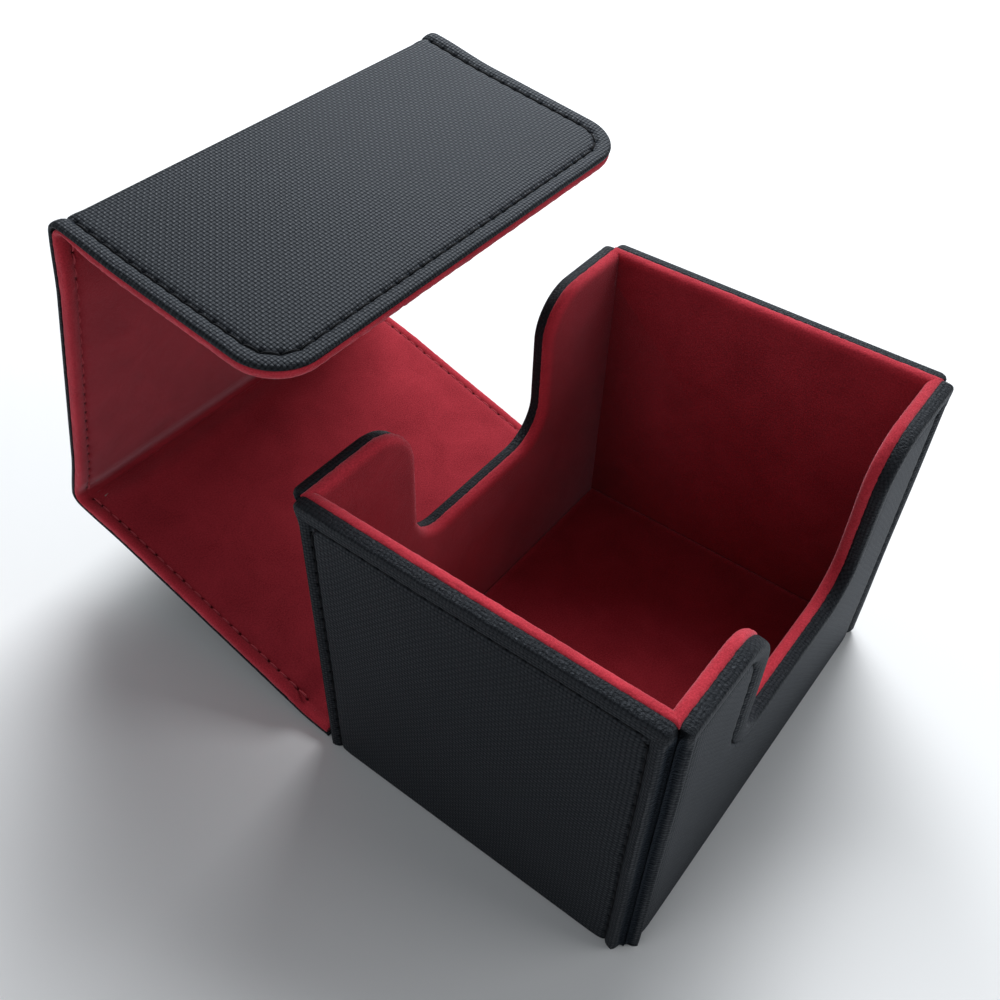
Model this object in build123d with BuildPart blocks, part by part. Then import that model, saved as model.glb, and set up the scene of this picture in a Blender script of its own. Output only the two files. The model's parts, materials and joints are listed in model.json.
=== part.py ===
from build123d import *
import os
from math import cos, radians, sin, sqrt, tan

# Trading card case: an open tray that holds sleeved cards on their long side, with a folding
# leather cover hinged along the tray's lower back edge. The cover folds up behind the tray,
# over its top and down its front, where magnets hold the flap.
# Millimetres, +Z up. The origin is the middle of the tray's underside. The front wall faces -Y.

# Tray
tray_width = 104.0
tray_depth = 79.0
tray_height = 76.0
wall_leather = 0.9
wall_board = 1.6
wall_liner = 2.1
floor_board = 1.6
floor_liner = 1.6
liner_drop = 0.6            # liner's top edge below the leather rim
leather_round = 0.9         # rolled edge of the leather
corner_round = 1.2          # upright edge of a wall's leather
liner_round = 0.8           # rolled edge of the liner
corner_gap = 0.3            # between the mitred ends of neighbouring walls
corner_wrap = 1.2           # leather round the upright ends of a wall's board
glue_gap = 0.05             # round a board or a thread in its pocket
floor_gap = 0.1             # round the floor liner

# Thumb notch in the front and back walls
notch_width = 45.0
notch_depth = 36.0          # from the leather rim down
notch_top_radius = 11.0
notch_low_radius = 9.0
liner_setback = 0.4         # liner's notch outside the leather's notch

# Stitching
stitch_inset = 4.4
stitch_corner = 2.0
stitch_foot = 0.6           # seam's end above the wall's lower edge
cover_stitch_inset = 3.4
thread_width = 0.5
thread_depth = 0.5

# Cover
cover_inset = 0.3           # cover's side edge inside the tray's side
skin = 1.0                  # leather of the cover and of the tray's underside
cover_board = 1.2
cover_lining = 1.1
strip_lining = 0.9          # thinner lining over the hinge strip
hem = 5.0                   # edge of the cover outside the board
fold_hem = 1.5              # the same beside a fold
strip_width = 5.6           # hinge strip between its two creases
crease_reach = 0.8          # first crease behind the tray's back wall
top_slack = 2.3             # closed cover above the rim
front_slack = 1.6           # closed flap in front of the front wall
flap_length = 54.0
flap_corner = 10.0
fold_gap = 0.1              # each side of a crease

# Magnets
magnet_diameter = 10.0
magnet_sink = 0.2           # magnet thinner than its board
magnet_beside = 9.0         # magnet's middle beyond the notch's side
magnet_edge = 11.0          # magnet's middle from the flap's free edge

# Bend angles in degrees: at rest as the open case stands, and the most that each crease takes
strip_rest_angle = 7.5
back_rest_angle = 10.5
top_rest_angle = 90.0
flap_rest_angle = 81.0
crease_bend_angle = 45.0
fold_bend_angle = 90.0

# Sizes that follow
wall = wall_leather + wall_board
wall_all = wall + wall_liner
floor_top = skin + floor_board
notch_floor = tray_height - notch_depth
fold_line = skin / 2
cover_thick = skin + cover_board + cover_lining
cover_width = tray_width - 2 * cover_inset
strip_rise = strip_width * sin(radians(crease_bend_angle))
fold_height = tray_height + top_slack + cover_thick - fold_line
back_length = fold_height - fold_line - strip_rise
fold_front = tray_depth / 2 + front_slack + cover_thick - fold_line
top_length = tray_depth / 2 + crease_reach + strip_rise + fold_front
wall_magnet = wall_board - magnet_sink
flap_magnet = cover_board - magnet_sink
magnet_reach = notch_width / 2 + magnet_beside
flap_magnet_place = flap_length - magnet_edge
magnet_height = fold_height - flap_magnet_place
back_lean = strip_rest_angle + back_rest_angle
top_lean = back_lean + top_rest_angle
flap_lean = top_lean + flap_rest_angle

os.makedirs("parts", exist_ok=True)


def save(piece, name):
    """Label a finished piece and write its STEP file."""
    piece.part.label = name
    export_step(piece.part, f"parts/{name}.step")


# Walls of the tray: the turn about Z, the wall's own width, the distance to the opposite wall
# and whether it has a thumb notch

walls = {
    "front": (0, tray_width, tray_depth, True),
    "right": (90, tray_depth, tray_width, False),
    "back": (180, tray_width, tray_depth, True),
    "left": (270, tray_depth, tray_width, False),
}


def wall_face(turn, span):
    """Outer face of a wall: x along the wall, y up, z outwards."""
    along = (cos(radians(turn)), sin(radians(turn)), 0)
    outward = (sin(radians(turn)), -cos(radians(turn)), 0)
    middle = (outward[0] * span / 2, outward[1] * span / 2, 0)
    return Plane(origin=middle, x_dir=along, z_dir=outward)


def wall_outline(half, bottom, top, notched, inset, corner=0.0):
    """Outline of a wall set in by an inset at its rim and notch: points and corner radii."""
    low = [(-half, bottom), (half, bottom)]
    if not notched:
        return low + [(half, top), (-half, top)], [corner] * 4
    side = notch_width / 2 + inset
    floor = notch_floor - inset
    rim = [(half, top), (side, top), (side, floor), (-side, floor), (-side, top), (-half, top)]
    high = notch_top_radius - inset
    deep = notch_low_radius + inset
    return low + rim, [corner, corner, corner, high, deep, deep, high, corner]


def wall_layer(face, width, near, far, bottom, top, notched, inset, end_round=0.0):
    """One layer of a wall between two depths, with 45 degree ends."""
    half = width / 2 - corner_gap / sqrt(2)
    points, radii = wall_outline(width / 2, bottom, top, notched, inset)
    plan = Plane(origin=face.origin, x_dir=face.x_dir, z_dir=(0, 0, 1))
    ends = [(near - half, near), (half - near, near), (half - far, far), (far - half, far)]
    with BuildPart() as layer:
        with BuildSketch(face.offset(-near)):
            with BuildLine():
                FilletPolyline(*points, radius=radii, close=True)
            make_face()
        extrude(amount=near - far)
        with BuildSketch(plan.offset(bottom)) as ends_plan:
            with BuildLine():
                Polyline(*ends, close=True)
            make_face()
            if end_round:
                fillet(ends_plan.vertices().group_by(Axis.Y)[0], end_round)
        extrude(amount=top - bottom, mode=Mode.INTERSECT)
    return layer


def rolled_edges(layer, face, outer, bottom):
    """Rim and notch edges on the outer or the inner face of a wall layer."""
    sheets = layer.faces().filter_by(face).sort_by(Axis(face.origin, face.z_dir))
    sheet = sheets[-1] if outer else sheets[0]
    edges = sheet.edges().filter_by(Axis.Z, reverse=True)
    return edges.filter_by(lambda edge: edge.center().Z > bottom + leather_round)


def stitch_band(face, width, notched, thread):
    """Band of a stitch line up one side of a wall panel, along its rim and down the other side."""
    half = width / 2 - stitch_inset
    low = skin + stitch_foot
    high = tray_height - stitch_inset
    points, radii = wall_outline(half, low, high, notched, stitch_inset, stitch_corner)
    route = points[1:] + points[:1]
    with BuildSketch(face) as band:
        with BuildLine():
            FilletPolyline(*route, radius=radii[2:])
        trace(line_width=thread)
    return band


for side, (turn, width, span, notched) in walls.items():
    face = wall_face(turn, span)

    # Board
    board_top = tray_height - wall_leather
    board_width = width - 2 * corner_wrap
    board = wall_layer(face, board_width, wall_leather, wall, floor_top, board_top - glue_gap, notched,
                       wall_leather + glue_gap)
    if side == "front":
        with BuildPart() as front_board:
            add(board.part)
            with BuildSketch(face.offset(-wall_leather)):
                with Locations((-magnet_reach, magnet_height), (magnet_reach, magnet_height)):
                    Circle(magnet_diameter / 2 + glue_gap)
            extrude(amount=-wall_board, mode=Mode.SUBTRACT)
        board = front_board
    save(board, f"{side}_wall_board")

    # Leather, wrapped over the board's rim and ends and into its notch, with room for the floor's board
    sleeve = wall_layer(face, width, 0, wall, skin, tray_height, notched, 0, corner_round)
    pocket = wall_layer(face, board_width + 2 * glue_gap, wall_leather, wall, skin, board_top, notched,
                        wall_leather)
    seat = wall_layer(face, width + 2 * corner_gap, wall_leather, wall, skin, floor_top, False, 0)
    groove = stitch_band(face, width, notched, thread_width + 2 * glue_gap)
    with BuildPart() as leather:
        add(sleeve.part)
        fillet(rolled_edges(leather, face, True, skin), leather_round)
        add(pocket.part, mode=Mode.SUBTRACT)
        add(seat.part, mode=Mode.SUBTRACT)
        extrude(groove.sketch, amount=-thread_depth, mode=Mode.SUBTRACT)
    save(leather, f"{side}_leather")

    # Stitching, flush with the leather
    seam = stitch_band(face, width, notched, thread_width)
    with BuildPart() as stitching:
        extrude(seam.sketch, amount=-thread_depth)
    save(stitching, f"{side}_stitching")

    # Padded liner panel
    liner_top = tray_height - liner_drop
    panel = wall_layer(face, width, wall, wall_all, floor_top, liner_top, notched, liner_setback)
    with BuildPart() as liner:
        add(panel.part)
        fillet(rolled_edges(liner, face, False, floor_top), liner_round)
    save(liner, f"{side}_liner")

# Wall magnets, in the front board where the flap's magnets meet them

with BuildPart(wall_face(0, tray_depth).offset(-wall_leather)) as wall_magnets:
    with Locations((-magnet_reach, magnet_height), (magnet_reach, magnet_height)):
        Cylinder(magnet_diameter / 2, wall_magnet, align=(Align.CENTER, Align.CENTER, Align.MAX))
save(wall_magnets, "wall_magnets")

# Floor of the tray

with BuildPart() as floor_core:
    with BuildSketch(Plane.XY.offset(skin)):
        Rectangle(tray_width - 2 * wall_leather, tray_depth - 2 * wall_leather)
    extrude(amount=floor_board)
save(floor_core, "floor_board")

with BuildPart() as floor_pad:
    with BuildSketch(Plane.XY.offset(floor_top)):
        Rectangle(tray_width - 2 * (wall_all + floor_gap), tray_depth - 2 * (wall_all + floor_gap))
    extrude(amount=floor_liner)
save(floor_pad, "floor_liner")


# Cover: each panel lies in its own plane, x from fold to fold, z towards the lining and the
# fold line at z = 0. Sections are drawn with x along the panel and y up from its outer face.

def rest_plane(origin, bend):
    """Plane of a cover panel that leans up by a bend from the table."""
    along = (0, cos(radians(bend)), sin(radians(bend)))
    inward = (0, -sin(radians(bend)), cos(radians(bend)))
    return Plane(origin=origin, x_dir=along, z_dir=inward)


def fold_cut(height, bend):
    """Room that a layer leaves beside a fold, at its height above the outer face."""
    return fold_gap + max(height - fold_line, 0) * tan(radians(bend / 2))


def skin_end(bend):
    """Section of the skin's end at a fold, from the outer face up."""
    return [(fold_gap, 0), (fold_gap, fold_line), (fold_cut(skin, bend), skin)]


def section_plane(panel):
    """Plane of a panel's section, from its outer face, with the case's width as its normal."""
    outer = panel.offset(-fold_line)
    return Plane(origin=outer.origin, x_dir=panel.x_dir, z_dir=(1, 0, 0))


def sheet_section(panel, points):
    """Cover layer of the full width from its section."""
    with BuildPart() as sheet:
        with BuildSketch(section_plane(panel)):
            with BuildLine():
                Polyline(*points, close=True)
            make_face()
        extrude(amount=cover_width / 2, both=True)
    return sheet


def flap_outline(panel, start, end, inset, corner):
    """Outline of a panel with two rounded free corners."""
    half = cover_width / 2 - inset
    points = [(start, -half), (end, -half), (end, half), (start, half)]
    with BuildSketch(panel) as outline:
        with BuildLine():
            FilletPolyline(*points, radius=[0, corner, corner, 0], close=True)
        make_face()
    return outline


hinge_plane = rest_plane((0, tray_depth / 2 + crease_reach, fold_line), strip_rest_angle)
back_plane = rest_plane(hinge_plane.from_local_coords((strip_width, 0, 0)), back_lean)
top_plane = rest_plane(back_plane.from_local_coords((back_length, 0, 0)), top_lean)
flap_plane = rest_plane(top_plane.from_local_coords((top_length, 0, 0)), flap_lean)

# Leather under the tray, which runs on into the hinge strip

under_plane = Plane(origin=hinge_plane.origin, x_dir=(0, 1, 0), z_dir=(0, 0, 1))
under_length = tray_depth + crease_reach - cover_inset
under_end = [(-x, y) for x, y in skin_end(crease_bend_angle)]
base_skin = sheet_section(under_plane, under_end + [(-under_length, skin), (-under_length, 0)])
save(base_skin, "base_leather")

# Hinge strip

strip_end = [(strip_width - x, y) for x, y in skin_end(crease_bend_angle)]
hinge_skin = sheet_section(hinge_plane, skin_end(crease_bend_angle) + strip_end[::-1])
save(hinge_skin, "hinge_leather")

strip_top = skin + strip_lining
strip_start = fold_cut(strip_top, crease_bend_angle)
strip_stop = strip_width - strip_start
strip_points = [(strip_start, skin), (strip_stop, skin), (strip_stop, strip_top), (strip_start, strip_top)]
hinge_pad = sheet_section(hinge_plane, strip_points)
save(hinge_pad, "hinge_lining")

# Back and top panels: the plane, the length between folds and the most that each end folds

panels = {
    "back_cover": (back_plane, back_length, crease_bend_angle, fold_bend_angle),
    "top_cover": (top_plane, top_length, fold_bend_angle, fold_bend_angle),
}

for name, (panel, length, first, last) in panels.items():
    lining_start = fold_cut(cover_thick, first) + fold_gap
    lining_stop = length - fold_cut(cover_thick, last) - fold_gap
    board_start = lining_start + fold_hem
    board_stop = lining_stop - fold_hem
    board_half = cover_width / 2 - hem
    seam = cover_width / 2 - cover_stitch_inset
    board_middle = (board_start + board_stop) / 2
    board_length = board_stop - board_start

    # Leather skin with two sunk stitch lines
    low_end = skin_end(first)
    high_end = [(length - x, y) for x, y in skin_end(last)]
    sheet = sheet_section(panel, high_end + low_end[::-1])
    with BuildPart() as leather:
        add(sheet.part)
        with BuildSketch(panel.offset(-fold_line)):
            with Locations((board_middle, -seam), (board_middle, seam)):
                Rectangle(board_length + 2 * glue_gap, thread_width + 2 * glue_gap)
        extrude(amount=thread_depth, mode=Mode.SUBTRACT)
    save(leather, f"{name}_leather")

    with BuildPart() as board:
        with BuildSketch(panel.offset(skin - fold_line)):
            with Locations((board_middle, 0)):
                Rectangle(board_length - 2 * glue_gap, 2 * (board_half - glue_gap))
        extrude(amount=cover_board)
    save(board, f"{name}_board")

    with BuildPart() as stitching:
        with BuildSketch(panel.offset(-fold_line)):
            with Locations((board_middle, -seam), (board_middle, seam)):
                Rectangle(board_length, thread_width)
        extrude(amount=thread_depth)
    save(stitching, f"{name}_stitching")

    # Lining, wrapped down round the board's edges to the skin
    low = [(lining_start, skin), (lining_stop, skin)]
    high = [(lining_stop, cover_thick), (lining_start, cover_thick)]
    pad = sheet_section(panel, low + high)
    with BuildPart() as lining:
        add(pad.part)
        with BuildSketch(panel.offset(skin - fold_line)):
            with Locations((board_middle, 0)):
                Rectangle(board_length, 2 * board_half)
        extrude(amount=cover_board, mode=Mode.SUBTRACT)
    save(lining, f"{name}_lining")

# Front flap: like the panels, with rounded free corners, and magnets let into its board

lining_start = fold_cut(cover_thick, fold_bend_angle) + fold_gap
board_start = lining_start + fold_hem
board_stop = flap_length - hem
free_end = [(flap_length, 0), (flap_length, skin)]
flap_sheet = sheet_section(flap_plane, free_end + skin_end(fold_bend_angle)[::-1])
flap_shape = flap_outline(flap_plane.offset(-fold_line), 0, flap_length, 0, flap_corner)
board_place = flap_plane.offset(skin - fold_line)
pocket = flap_outline(board_place, board_start, board_stop, hem, flap_corner - hem)
board_shape = flap_outline(board_place, board_start + glue_gap, board_stop - glue_gap, hem + glue_gap,
                           flap_corner - hem)
seam = cover_width / 2 - cover_stitch_inset
seam_end = flap_length - cover_stitch_inset
seam_points = [(board_start, -seam), (seam_end, -seam), (seam_end, seam), (board_start, seam)]
seam_corner = flap_corner - cover_stitch_inset
magnet_places = [(flap_magnet_place, -magnet_reach), (flap_magnet_place, magnet_reach)]

with BuildPart() as flap_leather:
    add(flap_sheet.part)
    extrude(flap_shape.sketch, amount=skin, mode=Mode.INTERSECT)
    with BuildSketch(flap_plane.offset(-fold_line)):
        with BuildLine():
            FilletPolyline(*seam_points, radius=seam_corner)
        trace(line_width=thread_width + 2 * glue_gap)
    extrude(amount=thread_depth, mode=Mode.SUBTRACT)
save(flap_leather, "flap_leather")

with BuildPart(board_place) as flap_board:
    extrude(board_shape.sketch, amount=cover_board)
    with Locations(*magnet_places):
        Hole(magnet_diameter / 2 + glue_gap)
save(flap_board, "flap_board")

with BuildPart(board_place) as flap_magnets:
    with Locations(*magnet_places):
        Cylinder(magnet_diameter / 2, flap_magnet, align=(Align.CENTER, Align.CENTER, Align.MIN))
save(flap_magnets, "flap_magnets")

with BuildPart() as flap_stitching:
    with BuildSketch(flap_plane.offset(-fold_line)):
        with BuildLine():
            FilletPolyline(*seam_points, radius=seam_corner)
        trace(line_width=thread_width)
    extrude(amount=thread_depth)
save(flap_stitching, "flap_stitching")

flap_pad_shape = flap_outline(board_place, lining_start, flap_length, 0, flap_corner)
with BuildPart() as flap_lining:
    extrude(flap_pad_shape.sketch, amount=cover_thick - skin)
    extrude(pocket.sketch, amount=cover_board, mode=Mode.SUBTRACT)
save(flap_lining, "flap_lining")
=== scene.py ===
import json
from math import atan2, ceil, cos, pi, radians, sin, tan

import bmesh
import bpy
import numpy as np
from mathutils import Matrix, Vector
from mathutils.kdtree import KDTree


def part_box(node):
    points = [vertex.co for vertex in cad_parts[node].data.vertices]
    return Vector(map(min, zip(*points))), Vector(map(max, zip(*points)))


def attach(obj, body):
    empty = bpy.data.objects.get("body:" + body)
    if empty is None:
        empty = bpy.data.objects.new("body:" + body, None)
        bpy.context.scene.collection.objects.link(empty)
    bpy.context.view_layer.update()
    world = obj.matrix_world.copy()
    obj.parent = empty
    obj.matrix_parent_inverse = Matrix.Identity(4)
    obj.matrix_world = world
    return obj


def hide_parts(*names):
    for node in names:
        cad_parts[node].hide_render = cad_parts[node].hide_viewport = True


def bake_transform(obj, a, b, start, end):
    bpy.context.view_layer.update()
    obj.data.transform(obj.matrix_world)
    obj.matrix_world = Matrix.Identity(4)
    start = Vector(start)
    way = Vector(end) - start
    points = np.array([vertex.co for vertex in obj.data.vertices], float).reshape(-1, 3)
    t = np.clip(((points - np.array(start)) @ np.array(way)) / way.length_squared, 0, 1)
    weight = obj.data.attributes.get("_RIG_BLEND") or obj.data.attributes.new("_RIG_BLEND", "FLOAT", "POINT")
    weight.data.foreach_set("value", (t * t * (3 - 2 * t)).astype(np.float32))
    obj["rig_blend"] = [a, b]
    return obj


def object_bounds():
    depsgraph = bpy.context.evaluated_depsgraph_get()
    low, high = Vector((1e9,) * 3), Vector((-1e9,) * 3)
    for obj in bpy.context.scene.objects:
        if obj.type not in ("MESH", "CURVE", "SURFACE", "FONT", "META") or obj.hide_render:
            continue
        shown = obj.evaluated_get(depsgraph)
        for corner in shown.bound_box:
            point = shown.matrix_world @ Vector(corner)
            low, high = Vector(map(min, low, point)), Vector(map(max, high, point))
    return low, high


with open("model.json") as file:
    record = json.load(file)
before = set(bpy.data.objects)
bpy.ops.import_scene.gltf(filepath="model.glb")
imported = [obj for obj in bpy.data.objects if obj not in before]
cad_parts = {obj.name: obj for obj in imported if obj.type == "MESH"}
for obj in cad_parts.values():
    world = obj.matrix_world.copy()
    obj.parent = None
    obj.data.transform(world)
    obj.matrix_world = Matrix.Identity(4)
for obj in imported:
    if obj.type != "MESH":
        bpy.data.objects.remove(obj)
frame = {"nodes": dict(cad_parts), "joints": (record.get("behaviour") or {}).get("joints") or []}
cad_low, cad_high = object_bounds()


# Base leather
# One skin of embossed leather lies under the tray and runs on, past the hinge, into the cover.
# It is cut to lie between the walls' turned feet, widens behind them and is glued to the floor's board.

mm = 0.001


def add_node(tree, kind, **settings):
    """A new shader node; each setting is one of its properties or, failing that, the value of an input."""
    node = tree.nodes.new(kind)
    for name, value in settings.items():
        if hasattr(node, name):
            setattr(node, name, value)
        else:
            node.inputs[name].default_value = value
    return node


def new_material(name):
    """A new material, its node tree and its shader."""
    material = bpy.data.materials.new(name)
    material.use_nodes = True
    return material, material.node_tree, material.node_tree.nodes["Principled BSDF"]


def noise(tree, place, **settings):
    """A noise node that reads this place."""
    node = add_node(tree, "ShaderNodeTexNoise", **settings)
    tree.links.new(place, node.inputs["Vector"])
    return node


def split(tree, vector):
    """The numbers that make up a vector or a colour."""
    node = add_node(tree, "ShaderNodeSeparateXYZ")
    tree.links.new(vector, node.inputs[0])
    return node.outputs


def vertex_value(tree, name):
    """The value that the mesh's vertices hold under this name."""
    return add_node(tree, "ShaderNodeAttribute", attribute_name=name).outputs["Fac"]


def raise_surface(tree, shader, height, strength, distance):
    """Bumps a shader's surface by this height."""
    bump = add_node(tree, "ShaderNodeBump", Strength=strength, Distance=distance)
    tree.links.new(height, bump.inputs["Height"])
    tree.links.new(bump.outputs["Normal"], shader.inputs["Normal"])


def set_finish(tree, shader, colour, rough):
    """Gives a shader its colour and its roughness."""
    tree.links.new(colour, shader.inputs["Base Color"])
    tree.links.new(rough, shader.inputs["Roughness"])


def calc(tree, operation, *values):
    """The output of a new math node; each value is a number or the socket that gives it."""
    node = tree.nodes.new("ShaderNodeMath")
    node.operation = operation
    for socket, value in zip(node.inputs, values):
        if isinstance(value, (int, float)):
            socket.default_value = value
        else:
            tree.links.new(value, socket)
    return node.outputs[0]


def ramp(tree, value, low, high, start, end):
    """A value that goes smoothly from start to end while another goes from low to high."""
    node = add_node(tree, "ShaderNodeMapRange", interpolation_type="SMOOTHSTEP")
    tree.links.new(value, node.inputs["Value"])
    for name, number in (("From Min", low), ("From Max", high), ("To Min", start), ("To Max", end)):
        node.inputs[name].default_value = number
    return node.outputs["Result"]


def blend_colours(tree, share, first, second):
    """The colour between two, as far along as share says."""
    node = add_node(tree, "ShaderNodeMix", data_type="RGBA")
    tree.links.new(share, node.inputs["Factor"])
    colours = [socket for socket in node.inputs if socket.type == "RGBA"]
    colours[0].default_value = (*first, 1)
    colours[1].default_value = (*second, 1)
    return [socket for socket in node.outputs if socket.type == "RGBA"][0]


def new_group(name, inputs, outputs):
    """An empty node group with these sockets, and its input and output nodes."""
    group = bpy.data.node_groups.new(name, "ShaderNodeTree")
    for label, kind in inputs:
        group.interface.new_socket(label, in_out="INPUT", socket_type=kind)
    for label, kind in outputs:
        group.interface.new_socket(label, in_out="OUTPUT", socket_type=kind)
    return group, group.nodes.new("NodeGroupInput"), group.nodes.new("NodeGroupOutput")


pebble_pitch = (0.73, 0.78)
pebble_steep = 4.6
low_pebble = 0.24


def pebble_group():
    """Rows of pressed pebbles, every other one lower, with the place in millimetres."""
    group, start, end = new_group(
        "pressed_pebbles",
        [("Place", "NodeSocketVector"), ("Crumple", "NodeSocketFloat")],
        [("Height", "NodeSocketFloat"), ("Grain", "NodeSocketFloat")],
    )
    flat = start.outputs["Place"]
    place = split(group, flat)
    wander = split(group, noise(group, flat, Scale=0.16, Detail=1.0).outputs["Color"])
    ruck = split(group, noise(group, flat, Scale=0.85, Detail=2.0).outputs["Color"])
    strength = calc(group, "MULTIPLY_ADD", start.outputs["Crumple"], 0.4, 0.16)
    squares = []
    waves = []
    for axis, pitch in enumerate(pebble_pitch):
        slow = calc(group, "MULTIPLY", calc(group, "SUBTRACT", wander[axis], 0.5), 0.6)
        warp = calc(group, "MULTIPLY", calc(group, "SUBTRACT", ruck[axis], 0.5), strength)
        at = calc(group, "ADD", calc(group, "ADD", place[axis], slow), warp)
        off = calc(group, "PINGPONG", at, pitch / 2)
        squares.append(calc(group, "MULTIPLY", off, off))
        waves.append(calc(group, "COSINE", calc(group, "MULTIPLY", at, pi / pitch)))
    share = calc(group, "MULTIPLY", calc(group, "ADD", *squares), pebble_steep)
    dome = calc(group, "MAXIMUM", calc(group, "SUBTRACT", 1.0, share), 0.0)
    high = calc(group, "MULTIPLY_ADD", calc(group, "MULTIPLY", *waves), low_pebble, 1 - low_pebble)
    group.links.new(calc(group, "MULTIPLY", dome, high), end.inputs["Height"])
    grain = noise(group, flat, Scale=5.0, Detail=3.0, Roughness=0.6)
    group.links.new(grain.outputs["Fac"], end.inputs["Grain"])
    return group


def leather_material():
    """Black pebbled leather: the pebbles' tops are worn smooth, the turned edges are crumpled, and the shade
    between the pebbles, in the needle holes and in the grooves is painted.
    """
    material, tree, shader = new_material("black_leather")
    shader.inputs["Specular IOR Level"].default_value = 0.3
    # The blue Specular Tint is a painted cast of the light's colour in the reflection.
    shader.inputs["Specular Tint"].default_value = (0.79, 0.88, 1.0, 1)
    flat = add_node(tree, "ShaderNodeUVMap", uv_map="grain").outputs["UV"]
    crumple = vertex_value(tree, "crumple")
    hole = vertex_value(tree, "hole")
    pebbles = add_node(tree, "ShaderNodeGroup", node_tree=pebble_group())
    tree.links.new(flat, pebbles.inputs["Place"])
    tree.links.new(crumple, pebbles.inputs["Crumple"])
    grain = pebbles.outputs["Grain"]
    worn_flat = calc(tree, "MULTIPLY", crumple, 0.4)
    pressed = calc(tree, "MULTIPLY", pebbles.outputs["Height"], calc(tree, "SUBTRACT", 1, worn_flat))
    height = calc(tree, "MULTIPLY_ADD", worn_flat, 0.6, pressed)
    creases = noise(tree, flat, Scale=2.0, Detail=4.0, Distortion=0.8)
    uneven = noise(tree, flat, Scale=0.05, Detail=2.0)
    worn = calc(tree, "MULTIPLY", uneven.outputs["Fac"], 0.4)
    # The colour is lighter on the pebbles' tops, partly as wear and partly as painted highlight, and darker
    # between them as painted shade; the hole value darkens it further as painted shade in the needle holes
    # and grooves.
    tone = calc(tree, "MULTIPLY_ADD", height, 0.6, worn)
    tone = calc(tree, "MULTIPLY", tone, ramp(tree, hole, 0.05, 0.6, 1, 0))
    colour = blend_colours(tree, tone, (0.004, 0.0045, 0.0055), (0.0145, 0.016, 0.019))
    rough = calc(tree, "MULTIPLY_ADD", grain, 0.12, ramp(tree, height, 0, 1, 0.62, 0.46))
    set_finish(tree, shader, colour, rough)
    # Painted shade on the reflection: Metallic dims the shine between the pebbles, in the needle holes and
    # in the grooves down to the dark base colour, and the pebbles' tops keep their shine.
    unshaded_shine = ramp(tree, height, 0, 0.7, 0.23, 1)
    unshaded_shine = calc(tree, "MULTIPLY", unshaded_shine, ramp(tree, hole, 0.05, 0.6, 1, 0.05))
    tree.links.new(calc(tree, "SUBTRACT", 1, unshaded_shine), shader.inputs["Metallic"])
    relief = calc(tree, "MULTIPLY_ADD", grain, 0.02, calc(tree, "MULTIPLY", pressed, 0.14))
    folds = calc(tree, "MULTIPLY", calc(tree, "MULTIPLY", creases.outputs["Fac"], crumple), 0.5)
    raise_surface(tree, shader, calc(tree, "ADD", relief, folds), 1.0, mm)
    return material


def pick(piece, kind, wanted):
    """Selects the vertices, edges or faces of the piece in edit mode that are wanted."""
    bpy.ops.mesh.select_mode(type=kind)
    bpy.ops.mesh.select_all(action="DESELECT")
    shape = bmesh.from_edit_mesh(piece.data)
    items = {"VERT": shape.verts, "EDGE": shape.edges, "FACE": shape.faces}[kind]
    for item in [i for i in items if wanted(i)]:
        item.select_set(True)
    shape.select_flush_mode()
    bmesh.update_edit_mesh(piece.data)


def draw_outline(name, corners, rounds, level, step):
    """A flat face in edit mode, drawn by extruding a point; rounds gives its corners a radius."""
    bpy.ops.object.select_all(action="DESELECT")
    bpy.ops.mesh.primitive_plane_add(size=mm)
    piece = bpy.context.active_object
    piece.name = piece.data.name = name
    bpy.ops.object.mode_set(mode="EDIT")
    bpy.ops.mesh.select_mode(type="VERT")
    bpy.ops.mesh.select_all(action="SELECT")
    bpy.ops.mesh.merge(type="CENTER")
    points = [Vector((x, y, level)) * mm for x, y in corners]
    bpy.ops.transform.translate(value=points[0])
    for before, after in zip(points, points[1:]):
        bpy.ops.mesh.extrude_region_move(TRANSFORM_OT_translate={"value": after - before})
    bpy.ops.mesh.select_all(action="SELECT")
    bpy.ops.mesh.edge_face_add()
    for radius in sorted(set(rounds.values())):
        places = [points[i] for i, r in rounds.items() if r == radius]
        pick(piece, "VERT", lambda v: any((v.co - p).length < 1e-6 for p in places))
        bpy.ops.mesh.bevel(
            offset=radius * mm, affect="VERTICES", segments=ceil(radius * pi / 2 / step), profile=0.5
        )
    return piece


def mark_edge(piece, distance):
    """Notes on the selected vertices how far they are from the outline, in millimetres."""
    shape = bmesh.from_edit_mesh(piece.data)
    layer = shape.verts.layers.float.get("edge") or shape.verts.layers.float.new("edge")
    for vert in shape.verts:
        if vert.select:
            vert[layer] = distance
    bmesh.update_edit_mesh(piece.data)


def divide_sides(piece, corners, reach, step):
    """Divides the rings beside each straight side into steps, for the stitches to pull at."""
    places = [Vector((x, y, 0)) * mm for x, y in corners]
    for before, after in zip(places, places[1:] + places[:1]):
        length = (after - before).length
        along = (after - before) / length
        inside = Vector((-along.y, along.x, 0))

        def beside(edge):
            centre = (edge.verts[0].co + edge.verts[1].co) / 2 - before
            run = edge.verts[1].co - edge.verts[0].co
            level = abs(run.dot(along)) > 0.9999 * run.length
            near = -1e-6 < centre.dot(inside) < (reach + 0.01) * mm
            return level and near and 0 < centre.dot(along) < length and run.length > 2 * step * mm

        pick(piece, "EDGE", beside)
        shape = bmesh.from_edit_mesh(piece.data)
        longest = max((edge.calc_length() for edge in shape.edges if edge.select), default=0)
        if longest:
            bpy.ops.mesh.subdivide(number_cuts=ceil(longest / step / mm) - 1)


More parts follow.
